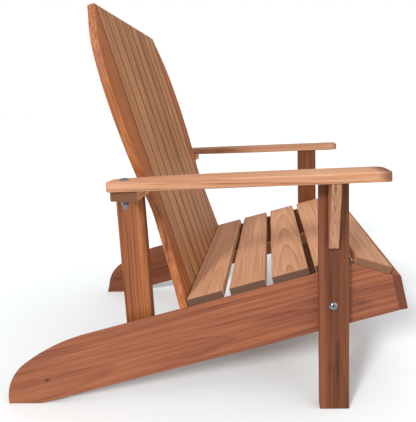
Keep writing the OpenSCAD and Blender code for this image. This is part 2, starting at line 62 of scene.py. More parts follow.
leg_low, leg_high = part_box("front_leg_right")
rail_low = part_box("side_rail_right")[0]
arm_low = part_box("arm_right")[0]
LEG_X = (leg_low.x + leg_high.x) / 2
LEG_W = leg_high.x - leg_low.x
PLANK_T = leg_high.y - leg_low.y
RAIL_OUT = -rail_low.y
RAIL_IN = RAIL_OUT - PLANK_T
LEG_OUT = RAIL_OUT + PLANK_T
ARM_OUT = -arm_low.y
SLAT_T = 19 * MM
SLAT_W = 89 * MM
SLAT_PITCH = 105.2 * MM
RAIL_DEPTH = 139 * MM
CORNER = Vector((LEG_X + 48.5 * MM, 0, 341 * MM))
FRONT_RUN = 98.6 * MM
HEEL_STRAIGHT = 663.3 * MM
HEEL_LONG_R = 441 * MM
HEEL_SHORT_R = 105.5 * MM
HEEL_TURN = math.radians(22.3)
ARM_Z = 546.8 * MM
BACK_ORIGIN = Vector((LEG_X - 350.2 * MM, 0, 256.8 * MM))
BACK_LEN = 748.3 * MM
BACK_FOOT = -95 * MM
BACK_PITCH = 54.5 * MM
BACK_SLAT_W = 52 * MM
SEAT_SETBACK = 0.5 * MM
SIDES = {1: "left", -1: "right"}


# ---------------------------------------------------------------- frames of reference

def axes(origin, x, y, z):
    """The matrix that puts a plank's own X, Y and Z along these directions."""
    m = Matrix.Identity(4)
    for column, direction in enumerate((x, y, z)):
        for row in range(3):
            m[row][column] = direction[row]
    m.translation = origin
    return m


def in_xz(angle):
    """A unit vector in the plane of symmetry, turned up from +X by angle."""
    return Vector((math.cos(angle), 0, math.sin(angle)))


ACROSS = Vector((0, 1, 0))


def seat_frame():
    return axes(CORNER, in_xz(SEAT_SLOPE), ACROSS, in_xz(SEAT_SLOPE + math.pi / 2))


def slope_frame():
    return axes(CORNER, in_xz(-FRONT_SLOPE), ACROSS, in_xz(math.pi / 2 - FRONT_SLOPE))


def apron_frame():
    origin = CORNER + FRONT_RUN * in_xz(-FRONT_SLOPE)
    return axes(origin, in_xz(FRONT_LEAN - math.pi / 2), ACROSS, in_xz(FRONT_LEAN))


def back_frame():
    """X forward out of the back's front face, Y across, Z up the slope."""
    return axes(BACK_ORIGIN, in_xz(RECLINE), ACROSS, in_xz(RECLINE + math.pi / 2))


def arm_frame():
    origin = Vector((LEG_X, 0, ARM_Z))
    return axes(origin, in_xz(ARM_TILT), ACROSS, in_xz(ARM_TILT + math.pi / 2))


def post_frame():
    origin = Vector((LEG_X - 438.9 * MM, 0, 202 * MM))
    return axes(origin, in_xz(POST_TILT), ACROSS, in_xz(POST_TILT + math.pi / 2))


# ---------------------------------------------------------------- materials

class Nodes:
    """Short calls that add a shader node, set or link its inputs, and give back its output."""

    def __init__(self, material):
        material.use_nodes = True
        self.tree = material.node_tree
        self.shader = self.tree.nodes["Principled BSDF"]

    def put(self, kind, out=0, inputs=None, **settings):
        node = self.tree.nodes.new("ShaderNode" + kind)
        for key, value in settings.items():
            setattr(node, key, value)
        for key, value in (inputs or {}).items():
            self.set(node.inputs[key], value)
        return node.outputs[out]

    def set(self, socket, value):
        if isinstance(value, bpy.types.NodeSocket):
            self.tree.links.new(value, socket)
        else:
            socket.default_value = value

    def math(self, operation, a, b=0.0):
        return self.put("Math", inputs={0: a, 1: b}, operation=operation)

    def shift(self, vector, offset=(0, 0, 0), scale=(1, 1, 1)):
        return self.put("Mapping", inputs={
            "Vector": vector, "Location": offset, "Scale": scale})

    def noise(self, vector, scale=1.0, detail=3.0, rough=0.55):
        return self.put("TexNoise", inputs={
            "Vector": vector, "Scale": scale, "Detail": detail, "Roughness": rough})

    def fade(self, value, low, high, to_low=0.0, to_high=1.0):
        return self.put("MapRange", inputs={
            "Value": value, "From Min": low, "From Max": high,
            "To Min": to_low, "To Max": to_high}, interpolation_type="SMOOTHSTEP")

    def mix(self, factor, a, b, blend="MIX"):
        return self.put("Mix", out=2, inputs={0: factor, 6: a, 7: b},
                        data_type="RGBA", blend_type=blend)

    def ramp(self, factor, *stops):
        colour = self.put("ValToRGB", inputs={"Fac": factor})
        elements = colour.node.color_ramp.elements
        while len(elements) < len(stops):
            elements.new(0.5)
        for element, (place, tone) in zip(elements, stops):
            element.position = place
            element.color = tone
        return colour

    def attribute(self, name):
        return self.put("Attribute", out=2, attribute_name=name)


def srgb(r, g, b):
    """A linear colour from 8-bit sRGB values."""
    def linear(c):
        c /= 255
        return c / 12.92 if c <= 0.04045 else ((c + 0.055) / 1.055) ** 2.4
    return (linear(r), linear(g), linear(b), 1.0)


KNOT_HEART = (0.035, 0.012, 0.006, 1)
# Near-black painted shade for the sides of planks that face a neighbour across a narrow gap
PAINTED_GAP_SHADE = (0.03, 0.013, 0.007, 1)


def toned(tone, factor):
    """A colour made lighter or darker by factor."""
    return tuple(min(1.0, factor * c) for c in tone[:3]) + (1.0,)


def spot(n, own, at, size):
    """Distance from a point on the plank's face, in units of size along and across the grain."""
    place = n.shift(own, offset=(-at[0] / size[0], -at[1] / size[1], 0),
                    scale=(1 / size[0], 1 / size[1], 0))
    return n.put("VectorMath", out=1, inputs={0: place}, operation="LENGTH")


def year_rings(n, own, wander, pith, tilt, rings):
    """How dark each year's growth is, round a pith that the plank runs slowly out of."""
    split = n.put("SeparateXYZ", inputs={0: own})
    x, y, z = (split.node.outputs[k] for k in range(3))
    across = n.math("ADD", y, pith[0])
    deep = n.math("ADD", n.math("MULTIPLY", x, tilt), n.math("SUBTRACT", z, pith[1]))
    far = n.math("SQRT", n.math("ADD", n.math("MULTIPLY", across, across),
                                n.math("MULTIPLY", deep, deep)))
    year = n.math("FRACT", n.math("ADD", n.math("MULTIPLY", far, float(rings)), wander))
    black, grey, white = ((v, v, v, 1) for v in (0, 0.55, 1))
    return n.ramp(year, (0.0, black), (0.72, grey), (0.9, white), (1.0, black))


def wood_surface(n, late, fine):
    """Late wood is smoother than early wood, and both it and the pores stand in low relief."""
    rough = n.math("ADD", n.fade(late, 0.0, 1.0, 0.58, 0.46), n.math("MULTIPLY", fine, 0.12))
    n.set(n.shader.inputs["Roughness"], rough)
    n.shader.inputs["Specular IOR Level"].default_value = 0.35
    height = n.math("ADD", n.math("MULTIPLY", fine, 0.6), n.math("MULTIPLY", late, 0.4))
    bump = n.put("Bump", inputs={"Height": height, "Strength": 0.35, "Distance": 0.0006})
    n.set(n.shader.inputs["Normal"], bump)


def wood(name, pale, dark, seed, pith=(0.0, -0.035), tilt=0.05, rings=110, contrast=0.3,
         wave=1.0, streak=1.0, ends=0.45, knot=None, stain=None):
    """One plank's cut of cedar. pale and dark are its two tones. pith is where the heart of the
    tree lies across the plank, tilt how fast the plank runs out of it, which draws arches, and
    rings how many years there are in a metre. contrast is the strength of the rings, wave of
    their wandering, streak of the streaks beside them, and ends the lightness of the end grain
    beside the dark tone. knot is a knot's place and size, and stain is a patch's place, size,
    tint and strength."""
    material = bpy.data.materials.new(name)
    n = Nodes(material)
    own = n.put("TexCoord", out=3)
    place = n.shift(own, offset=(seed * 1.37, seed * 0.71, seed * 0.43))

    def lines(along, across, detail, rough=0.55):
        """Noise drawn out along the grain, with this many features in a metre each way."""
        return n.noise(n.shift(place, scale=(along, across, across)), detail=detail, rough=rough)

    wander = lines(2.2, 16, 4)
    if knot:
        knot_far = spot(n, own, *knot)
        wander = n.math("ADD", wander, n.fade(knot_far, 0.2, 3.2, 1.6, 0.0))
    late = year_rings(n, own, n.math("MULTIPLY", wander, 2.0 * wave), pith, tilt, rings)
    broad = lines(1.3, 22, 2)
    mid = lines(2.5, 110, 3, 0.6)
    thin = lines(4, 240, 2, 0.6)
    fine = lines(9, 420, 2, 0.7)
    tone = n.math("MULTIPLY", late, contrast)
    for streaks, low, high, weight in ((broad, 0.3, 0.7, 0.3), (mid, 0.37, 0.63, 0.32),
                                       (thin, 0.38, 0.62, 0.34)):
        tone = n.math("ADD", tone, n.fade(streaks, low, high, 0.0, weight * streak))
    deepest = toned(dark, 0.62)
    colour = n.ramp(tone, (0.0, pale), (0.95, dark), (1.0, deepest))
    colour = n.mix(n.fade(fine, 0.5, 0.8, 0.0, 0.28), colour, deepest)
    if stain:
        at, size, tint, strength = stain
        ragged = n.math("ADD", spot(n, own, at, size),
                        n.math("MULTIPLY", n.fade(mid, 0.2, 0.8), 0.5))
        colour = n.mix(n.fade(ragged, 0.6, 1.5, strength, 0.0), colour, tint)
    if knot:
        colour = n.mix(n.fade(knot_far, 0.35, 1.0, 0.85, 0.0), colour, KNOT_HEART)
    colour = n.mix(n.fade(n.attribute("cut"), 0.4, 0.95, 0.0, 0.95), colour, toned(dark, ends))
    # Painted highlight: the eased edges are made paler in patches, as if they caught the light.
    painted_edge_highlight = n.math("MULTIPLY", n.attribute("edge"), n.fade(mid, 0.3, 0.6, 0.1, 0.4))
    colour = n.mix(painted_edge_highlight, colour, toned(pale, 1.25))
    # Painted shade: the long sides that lie close to a neighbour are made nearly black, standing in
    # for the shade in the gap.
    colour = n.mix(n.fade(n.attribute("joint"), 0.0, 1.0, 0.0, 0.95), colour, PAINTED_GAP_SHADE)
    n.set(n.shader.inputs["Base Color"], colour)
    wood_surface(n, late, fine)
    return material


def metal(name, tone, rough, scratch):
    """Plated steel, slightly uneven, with fine scratches."""
    material = bpy.data.materials.new(name)
    n = Nodes(material)
    own = n.put("TexCoord", out=3)
    cloud = n.noise(own, scale=160, detail=3)
    hair = n.noise(n.shift(own, scale=(1200, 90, 1200)), detail=2)
    colour = n.mix(n.fade(cloud, 0.3, 0.7), tone, toned(tone, 0.82))
    n.set(n.shader.inputs["Base Color"], colour)
    n.shader.inputs["Metallic"].default_value = 1.0
    n.set(n.shader.inputs["Roughness"],
          n.math("ADD", n.math("MULTIPLY", hair, scratch), n.math("MULTIPLY", cloud, rough)))
    bump = n.put("Bump", inputs={"Height": hair, "Strength": 0.12, "Distance": 0.0002})
    n.set(n.shader.inputs["Normal"], bump)
    return material


# ---------------------------------------------------------------- boards

def rounded(points, radii, steps=6):
    """An outline with its corners rounded: radii gives one radius for each corner, or 0."""
    result = []
    count = len(points)
    for i, (corner, radius) in enumerate(zip(points, radii)):
        if not radius:
            result.append(corner)
            continue
        to_last = (points[i - 1] - corner).normalized()
        to_next = (points[(i + 1) % count] - corner).normalized()
        half = to_last.angle(to_next) / 2
        middle = corner + (to_last + to_next).normalized() * radius / math.sin(half)
        start = corner + to_last * radius / math.tan(half) - middle
        end = corner + to_next * radius / math.tan(half) - middle
        sweep = start.angle(end)
        for k in range(steps + 1):
            t = k / steps
            arm = (start * math.sin((1 - t) * sweep) + end * math.sin(t * sweep)) / math.sin(sweep)
            result.append(middle + arm)
    return result


def area_of(points):
    return sum(a.x * b.y - b.x * a.y for a, b in zip(points, points[1:] + points[:1])) / 2


def skin(bm, loops):
    """Closed solid through loops of equal length, all counter-clockwise seen from the last."""
    rings = [[bm.verts.new(p) for p in loop] for loop in loops]
    for low, high in zip(rings, rings[1:]):
        for i in range(len(low)):
            j = (i + 1) % len(low)
            if (low[i].co - high[i].co).length + (low[j].co - high[j].co).length > 1e-7:
                bm.faces.new((low[i], low[j], high[j], high[i]))
    bm.faces.new(list(reversed(rings[0])))
    bm.faces.new(rings[-1])


def ease_edges(bm, radius, angle=math.radians(28)):
    """Rounds every edge sharper than angle, and marks the rounding and the end grain."""
    sharp = [e for e in bm.edges if e.is_manifold and e.calc_face_angle() > angle]
    made = bmesh.ops.bevel(bm, geom=sharp, offset=radius, segments=3, profile=0.6,
                           affect="EDGES", clamp_overlap=True)["faces"]
    bmesh.ops.remove_doubles(bm, verts=bm.verts, dist=0.01 * MM)
    bmesh.ops.dissolve_degenerate(bm, edges=bm.edges, dist=0.01 * MM)
    soft = {face for face in made if face.is_valid}
    edge = bm.verts.layers.float.new("edge")
    cut = bm.faces.layers.float.new("cut")
    for vert in bm.verts:
        vert[edge] = 1.0 if all(face in soft for face in vert.link_faces) else 0.0
    for face in bm.faces:
        face.smooth = True
        face[cut] = abs(face.normal.x)


def from_mesh(name, bm, material):
    """A new object in the scene, made of this mesh and finished with this material."""
    mesh = bpy.data.meshes.new(name)
    bm.to_mesh(mesh)
    bm.free()
    mesh.materials.append(material)
    piece = bpy.data.objects.new(name, mesh)
    bpy.context.scene.collection.objects.link(piece)
    return piece


def stands_for(piece, node):
    """Puts a piece on the chair in the place of its CAD node."""
    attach(piece, "root")
    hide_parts(node)


def add_timber(node, bm, place, material, side):
    """Puts a plank's mesh in its place, as the piece that stands for its CAD node. Side -1
    mirrors it."""
    if side < 0:
        for vert in bm.verts:
            vert.co.y = -vert.co.y
        bmesh.ops.reverse_faces(bm, faces=bm.faces)
        mirror = Matrix.Diagonal((1, -1, 1, 1))
        place = mirror @ place @ mirror
    piece = from_mesh(node + "_timber", bm, material)
    piece.matrix_world = place
    normals = piece.modifiers.new("normals", "WEIGHTED_NORMAL")
    normals.weight = 50
    stands_for(piece, node)


def board(name, parent, corners, grain, out, thick, material, ease=2 * MM, side=1,
          inner=None, nose=None, joint=None):
    """A plank cut from one outline. corners are points of the parent frame on the plank's back
    face, which the thickness rises from along out. inner is the back face's own corners and the
    width of the flat land above them, and nose is a point on one edge and the radius it gets.
    joint is the long sides, of 1 and -1 along the board's own Y, that lie close to a neighbour."""
    grain, out = Vector(grain), Vector(out)
    corners = [Vector(c) for c in corners]
    centre = Vector([(min(c[k] for c in corners) + max(c[k] for c in corners)) / 2
                     for k in range(3)])
    place = parent @ axes(centre, grain, out.cross(grain), out)
    to_own = place.inverted() @ parent
    flat = [to_own @ c for c in corners]
    back = [to_own @ Vector(c) for c in (inner[0] if inner else corners)]
    if area_of(flat) < 0:
        flat.reverse()
        back.reverse()
    rise = Vector((0, 0, thick))
    bm = bmesh.new()
    loops = [back, [p + rise for p in flat]]
    if inner:
        loops.insert(1, [p + rise - Vector((0, 0, inner[1])) for p in flat])
    skin(bm, loops)
    bmesh.ops.recalc_face_normals(bm, faces=bm.faces)
    if nose:
        at = to_own @ nose[0]
        nearest = min(bm.edges, key=lambda e: ((e.verts[0].co + e.verts[1].co) / 2 - at).length)
        bmesh.ops.bevel(bm, geom=[nearest], offset=nose[1], segments=6, profile=0.5,
                        affect="EDGES")
    ease_edges(bm, ease)
    close = bm.faces.layers.float.new("joint")
    for face in bm.faces:
        face[close] = max([0.0] + [face.normal.y * way for way in joint or ()]) > 0.2
    add_timber(name, bm, place, material, side)


def box_corners(low, high, fixed, at):
    """Four corners of a rectangle: low and high are its 2D corners, fixed is the axis that it
    lacks, and at is its place along that axis."""
    a, b = [k for k in range(3) if k != fixed]
    result = []
    for u, v in ((low[0], low[1]), (high[0], low[1]), (high[0], high[1]), (low[0], high[1])):
        point = Vector((0, 0, 0))
        point[a], point[b], point[fixed] = u, v, at
        result.append(point)
    return result


# ---------------------------------------------------------------- the cedar's tones

# Each kind of plank's early wood and late wood
CEDAR = {
    "pale": (srgb(210, 160, 125), srgb(170, 115, 80)),
    "honey": (srgb(190, 135, 90), srgb(135, 85, 50)),
    "amber": (srgb(180, 110, 60), srgb(125, 65, 30)),
    "russet": (srgb(160, 95, 60), srgb(110, 55, 35)),
    "umber": (srgb(125, 70, 35), srgb(90, 40, 15)),
}


def cedar(kind, shade=1.0):
    """A plank's two tones, lighter or darker than its kind by shade."""
    return [toned(tone, shade) for tone in CEDAR[kind]]


# ---------------------------------------------------------------- side rails and legs

def arc(centre, radius, start, end, steps):
    """Points on an arc in X and Z, from angle start to angle end."""
    return [centre + radius * in_xz(start + (end - start) * k / steps) for k in range(steps + 1)]


def rail_outline():
    """The rail's outline, and its inner face's, whose top edge is bevelled down round the heel."""
    bevel, bevel_stop = 15 * MM, 12 * MM
    runs_out_from = 0.6
    top = SEAT_SLOPE + math.pi / 2
    turned = top + HEEL_TURN
    start = CORNER - HEEL_STRAIGHT * in_xz(SEAT_SLOPE)
    long_centre = start - HEEL_LONG_R * in_xz(top)
    join = long_centre + HEEL_LONG_R * in_xz(turned)
    short_centre = join - HEEL_SHORT_R * in_xz(turned)
    ground = math.pi + math.asin(short_centre.z / HEEL_SHORT_R)
    under = CORNER - RAIL_DEPTH * in_xz(top)
    front_top = CORNER + FRONT_RUN * in_xz(-FRONT_SLOPE)
    end_length = apron_length()
    front_bottom = front_top + end_length * in_xz(FRONT_LEAN - math.pi / 2)
    flat = Vector((under.x - under.z / math.tan(SEAT_SLOPE), 0, 0))
    just_behind = CORNER - bevel_stop * in_xz(SEAT_SLOPE)
    outer = [flat, front_bottom, front_top, CORNER, just_behind]
    inner = [flat, front_bottom, front_top, CORNER, just_behind - bevel * in_xz(top)]
    outer += arc(long_centre, HEEL_LONG_R, top, turned, 12)
    inner += arc(long_centre, HEEL_LONG_R - bevel, top, turned, 12)
    outer += arc(short_centre, HEEL_SHORT_R, turned, ground, 16)[1:]
    for k in range(1, 17):
        t = k / 16
        depth = bevel * (1 - max(0.0, (t - runs_out_from) / (1 - runs_out_from)))
        inner.append(short_centre + (HEEL_SHORT_R - depth) * in_xz(turned + (ground - turned) * t))
    inner[-1] = outer[-1].copy()
    return outer, inner


def apron_length():
    """Length of the rail's end cut, from the short slope down to the bottom edge."""
    top = CORNER + FRONT_RUN * in_xz(-FRONT_SLOPE)
    down = in_xz(FRONT_LEAN - math.pi / 2)
    square = in_xz(SEAT_SLOPE + math.pi / 2)
    return ((CORNER - top).dot(square) - RAIL_DEPTH) / down.dot(square)


def side_rail(side, material):
    outer, inner = rail_outline()
    lift = Vector((0, RAIL_IN, 0))
    land = 4 * MM
    board("side_rail_" + SIDES[side], Matrix.Identity(4), [p + lift for p in outer],
          in_xz(SEAT_SLOPE), (0, 1, 0), PLANK_T, material, side=side,
          inner=([p + lift for p in inner], land))


def front_leg(side, material):
    half = LEG_W / 2
    tops = [ARM_Z + x * math.tan(ARM_TILT) for x in (half, -half)]
    corners = [Vector((LEG_X - half, RAIL_OUT, 0)), Vector((LEG_X + half, RAIL_OUT, 0)),
               Vector((LEG_X + half, RAIL_OUT, tops[0])), Vector((LEG_X - half, RAIL_OUT, tops[1]))]
    board("front_leg_" + SIDES[side], Matrix.Identity(4),
          rounded(corners, (3 * MM, 3 * MM, 0, 0)), (0, 0, 1), (0, 1, 0), PLANK_T,
          material, side=side)


def rear_post(side, material):
    """Its head is cut off square to the arm's slope, under the rear rail."""
    post = post_frame()
    under_rail = arm_frame() @ Vector((0, 0, -PLANK_T))
    to_post = post.inverted()
    level = (to_post.to_3x3() @ in_xz(ARM_TILT)).normalized()
    across = RAIL_IN - PLANK_T
    width, foot = 64 * MM, -105 * MM
    heads = []
    for x in (0, -width):
        base = to_post @ under_rail
        heads.append(base.z + (x - base.x) * level.z / level.x)
    corners = [Vector((-width, across, foot)), Vector((0, across, foot)),
               Vector((0, across, heads[0])), Vector((-width, across, heads[1]))]
    board("rear_post_" + SIDES[side], post, corners, (0, 0, 1), (0, 1, 0), PLANK_T,
          material, side=side)


# ---------------------------------------------------------------- arms

def arm_outline():
    front, rear, curve_x = 118 * MM, -498 * MM, -200 * MM
    front_in, curve_in = ARM_OUT - 81 * MM, ARM_OUT - 76 * MM
    radius = 1670 * MM
    taper = math.atan2(curve_in - front_in, front - curve_x)
    centre = Vector((curve_x + radius * math.sin(taper), curve_in + radius * math.cos(taper), 0))
    steps = 14
    inner_edge = []
    for k in range(steps + 1):
        x = rear + (curve_x - rear) * k / steps
        inner_edge.append(Vector((x, centre.y - math.sqrt(radius ** 2 - (x - centre.x) ** 2), 0)))
    corners = inner_edge + [Vector((front, front_in, 0)), Vector((front, ARM_OUT, 0)),
                            Vector((rear, ARM_OUT, 0))]
    radii = [17 * MM] + [0] * steps + [24 * MM, 12 * MM, 6 * MM]
    return rounded(corners, radii)


def arm(side, material):
    board("arm_" + SIDES[side], arm_frame(), arm_outline(), (1, 0, 0), (0, 0, 1), PLANK_T,
          material, ease=3 * MM, side=side)


def arm_bracket(side, material):
    off_centre, height, flat_end, toe_radius = 2.5 * MM, 157 * MM, 14 * MM, 4 * MM
    x = LEG_X - off_centre - PLANK_T / 2
    foot_z = ARM_Z - height
    reach, foot = LEG_OUT + 49 * MM, LEG_OUT + 11 * MM
    corners = [Vector((x, LEG_OUT, foot_z)), Vector((x, foot, foot_z)),
               Vector((x, reach, ARM_Z - flat_end)), Vector((x, reach, ARM_Z)),
               Vector((x, LEG_OUT, ARM_Z))]
    board("arm_bracket_" + SIDES[side], Matrix.Identity(4),
          rounded(corners, (0, toe_radius, 0, 0, 0)), (0, 0, 1), (1, 0, 0), PLANK_T,
          material, side=side)


def rear_rail(material):
    """Under the arms and behind the back; its front edge is notched round the slats."""
    rear, width = -495.3 * MM, 63.5 * MM
    front = rear + width
    half, notch = 348 * MM, 275 * MM
    z = -PLANK_T
    face = arm_frame().inverted() @ back_frame()
    at = face @ Vector((-SLAT_T, 0, 0))
    up = face.to_3x3() @ Vector((0, 0, 1))
    notch_x = at.x + up.x * (-PLANK_T - at.z) / up.z
    corners = [(rear, -half), (front, -half), (front, -notch), (notch_x, -notch),
               (notch_x, notch), (front, notch), (front, half), (rear, half)]
    corners = [Vector((x, y, z)) for x, y in corners]
    r = 10 * MM
    board("rear_rail", arm_frame(), rounded(corners, (r, r, 0, 0, 0, 0, r, r)), (0, 1, 0),
          (0, 0, 1), PLANK_T, material)


# ---------------------------------------------------------------- back

def narrow_back_slat(i, material):
    y = (i - 5.5) * BACK_PITCH
    half = BACK_SLAT_W / 2
    corners = box_corners((y - half, BACK_FOOT), (y + half, BACK_LEN), 0, -SLAT_T)
    board("back_slat_%d" % i, back_frame(), corners, (0, 0, 1), (1, 0, 0), SLAT_T,
          material, ease=2.5 * MM, joint=(1, -1))


def bezier(p, t):
    s = 1 - t
    return tuple(s ** 3 * p[0][k] + 3 * t * s * s * p[1][k] + 3 * t * t * s * p[2][k]
                 + t ** 3 * p[3][k] for k in (0, 1))


def outer_back_slat(side, material):
    """The shaped outer slat: foot, waist, shoulder and top along its outer edge."""
    foot, waist, shoulder, top = 287, 252, 291.5, 220.3
    high = BACK_LEN / MM
    curves = (
        ((foot, -20.3), (foot - 14, 38), (waist, 173), (waist, 216)),
        ((waist, 216), (waist, 258), (shoulder, 321), (shoulder, 491.5)),
        ((shoulder, 491.5), (shoulder, 661), (top + 24, 691), (top, high)),
    )
    inside = (4 * BACK_PITCH + (BACK_PITCH - BACK_SLAT_W) / 2) / MM
    foot_out = RAIL_IN / MM - 2
    on_rail = seat_frame().inverted() @ back_frame()
    corners = [(inside, BACK_FOOT / MM), (foot_out, BACK_FOOT / MM)]
    notch = -20.3
    for x in (0, -SLAT_T):
        point = on_rail @ Vector((x, 0, 0))
        rise = on_rail.to_3x3() @ Vector((0, 0, 1))
        notch = max(notch, -point.z / rise.z / MM)
    corners += [(foot_out, notch), (bezier(curves[0], 0.05)[0], notch)]
    steps = 14
    edge = [bezier(c, k / steps) for c in curves for k in range(steps)]
    corners += [p for p in edge if p[1] > notch + 1] + [(top, high), (inside, high)]
    points = [Vector((-SLAT_T, y * MM, z * MM)) for y, z in corners]
    name = "back_slat_10" if side > 0 else "back_slat_1"
    board(name, back_frame(), points, (0, 0, 1), (1, 0, 0), SLAT_T, material,
          ease=2.5 * MM, side=side, joint=(1,))


def upper_back_batten(material):
    half, bottom, top = 245 * MM, 520 * MM, 565 * MM
    corners = box_corners((-half, bottom), (half, top), 0, -2 * SLAT_T)
    board("upper_back_batten", back_frame(), corners, (0, 1, 0), (1, 0, 0), SLAT_T,
          material)


def lower_back_rail(material):
    bottom, top = -88 * MM, -26 * MM
    corners = box_corners((-RAIL_IN, bottom), (RAIL_IN, top), 0, 0)
    board("lower_back_rail", back_frame(), corners, (0, 1, 0), (1, 0, 0), PLANK_T,
          material)


# ---------------------------------------------------------------- seat

def slat_rear(i):
    """Where seat slat i's rear edge lies along the seat, behind its front corner."""
    return -SEAT_SETBACK - SLAT_W - (4 - i) * SLAT_PITCH


def seat_slat(i, material):
    rear = slat_rear(i)
    corners = box_corners((rear, -RAIL_OUT), (rear + SLAT_W, RAIL_OUT), 2, 0)
    board("seat_slat_%d" % i, seat_frame(), corners, (0, 1, 0), (0, 0, 1), SLAT_T,
          material, ease=3 * MM)


def front_slope_slat(material):
    rear = 2.5 * MM
    corners = box_corners((rear, -RAIL_OUT), (rear + SLAT_W, RAIL_OUT), 2, 0)
    board("front_slope_slat", slope_frame(), corners, (0, 1, 0), (0, 0, 1), SLAT_T,
          material, ease=3 * MM)


def front_apron(material):
    """Grain across the chair; its top front edge has a fuller round."""
    corners = box_corners((0, -RAIL_OUT), (apron_length(), RAIL_OUT), 2, 0)
    board("front_apron", apron_frame(), corners, (0, 1, 0), (0, 0, 1), SLAT_T,
          material, nose=(Vector((0, 0, SLAT_T)), 8 * MM))


def centre_support(material):
    rear, front, height = -375 * MM, -16 * MM, 30 * MM
    corners = box_corners((rear, -height), (front, 0), 1, -SLAT_T / 2)
    board("seat_centre_support", seat_frame(), corners, (1, 0, 0), (0, 1, 0), SLAT_T,
          material)


def block(name, parent, start, end, height, side, material):
    """A block inside a rail, flush with the parent frame's top, from start to end along it."""
    corners = box_corners((start, -height), (end, 0), 1, RAIL_IN - PLANK_T)
    board(name, parent, corners, (1, 0, 0), (0, 1, 0), PLANK_T, material,
          ease=1.2 * MM, side=side)


def rail_blocks(side, material):
    """The blocks that carry the slats and the apron on one rail."""
    inset, first_from = 14.5 * MM, -372 * MM
    for i in range(1, 5):
        start = max(slat_rear(i) + inset, first_from)
        block("seat_block_%s_%d" % (SIDES[side], i), seat_frame(), start,
              slat_rear(i) + SLAT_W - inset, 40 * MM, side, material)
    block("slope_block_" + SIDES[side], slope_frame(), 12 * MM, 62 * MM, 30 * MM, side, material)
    block("apron_block_" + SIDES[side], apron_frame(), 22 * MM, 76 * MM, 30 * MM, side, material)


def under_seat(material):
    centre_support(material)
    for side in SIDES:
        rail_blocks(side, material)


# ---------------------------------------------------------------- fasteners

def islands(node):
    """The corners of each separate solid of a CAD node, always in the same order."""
    bm = bmesh.new()
    bm.from_mesh(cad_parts[node].data)
    bmesh.ops.remove_doubles(bm, verts=bm.verts, dist=1e-6)
    left = set(bm.verts)
    found = []
    while left:
        group, todo = [], [left.pop()]
        while todo:
            vert = todo.pop()
            group.append(vert.co.copy())
            for link in vert.link_edges:
                other = link.other_vert(vert)
                if other in left:
                    left.discard(other)
                    todo.append(other)
        found.append(group)
    bm.free()
    return sorted(found, key=lambda g: tuple(round(c, 4) for c in sum(g, Vector()) / len(g)))


def screw_place(points):
    """Where a screw's head is, and the direction from its point out through its head."""
    spread = max(((a - b).length, tuple(a), tuple(b)) for a in points[:40] for b in points)
    ends = [Vector(spread[1]), Vector(spread[2])]
    axis = (ends[0] - ends[1]).normalized()
    for _ in range(3):
        heights = [p.dot(axis) for p in points]
        high = [p for p, h in zip(points, heights) if h > max(heights) - 1e-3]
        low = [p for p, h in zip(points, heights) if h < min(heights) + 1e-3]
        top, bottom = sum(high, Vector()) / len(high), sum(low, Vector()) / len(low)
        axis = (top - bottom).normalized()
    wide = [max((p - e).cross(axis).length for p in g) for g, e in ((high, top), (low, bottom))]
    return (top, axis) if wide[0] > wide[1] else (bottom, -axis)


def screw_mesh(bm, place):
    """A countersunk head, very slightly domed, with a cross recess, and a tapered shank."""
    steps = 24
    profile = ((4.2, 0.45), (4.2, 0.1), (2.0, -2.4), (1.9, -24), (0.2, -30))
    rings = []
    for radius, z in profile:
        rings.append([bm.verts.new(place @ Vector((
            radius * MM * math.cos(k * math.tau / steps),
            radius * MM * math.sin(k * math.tau / steps), z * MM))) for k in range(steps)])
    for high, low in zip(rings, rings[1:]):
        for k in range(steps):
            j = (k + 1) % steps
            bm.faces.new((high[j], high[k], low[k], low[j])).smooth = True
    bm.faces.new(list(reversed(rings[-1])))
    wide, slim, lip_z = 2.2, 0.55, 0.7
    pit_z, pit_taper = -1.2, 0.6
    cross = [(wide, -slim), (wide, slim), (slim, slim), (slim, wide), (-slim, wide),
             (-slim, slim), (-wide, slim), (-wide, -slim), (-slim, -slim), (-slim, -wide),
             (slim, -wide), (slim, -slim)]
    lip = [bm.verts.new(place @ Vector((x * MM, y * MM, lip_z * MM))) for x, y in cross]
    pit = [bm.verts.new(place @ Vector((x * pit_taper * MM, y * pit_taper * MM, pit_z * MM)))
           for x, y in cross]
    for k in range(len(cross)):
        j = (k + 1) % len(cross)
        bm.faces.new((lip[j], lip[k], pit[k], pit[j]))
    bm.faces.new(pit)
    rim = [bm.edges.get((loop[k], loop[(k + 1) % len(loop)]))
           for loop in (rings[0], lip) for k in range(len(loop))]
    bmesh.ops.triangle_fill(bm, use_beauty=True, use_dissolve=False, edges=rim)


def turned_to(point, axis):
    return Matrix.Translation(point) @ axis.to_track_quat("Z", "Y").to_matrix().to_4x4()


def screws(node, material):
    bm = bmesh.new()
    for points in islands(node):
        head, axis = screw_place(points)
        screw_mesh(bm, turned_to(head, axis))
    bmesh.ops.recalc_face_normals(bm, faces=bm.faces)
    stands_for(from_mesh(node + "_set", bm, material), node)


def finish_node(node, material):
    """A CAD node whose shape is right keeps it, and gets its finish."""
    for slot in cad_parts[node].material_slots:
        slot.material = material


# ---------------------------------------------------------------- the chair

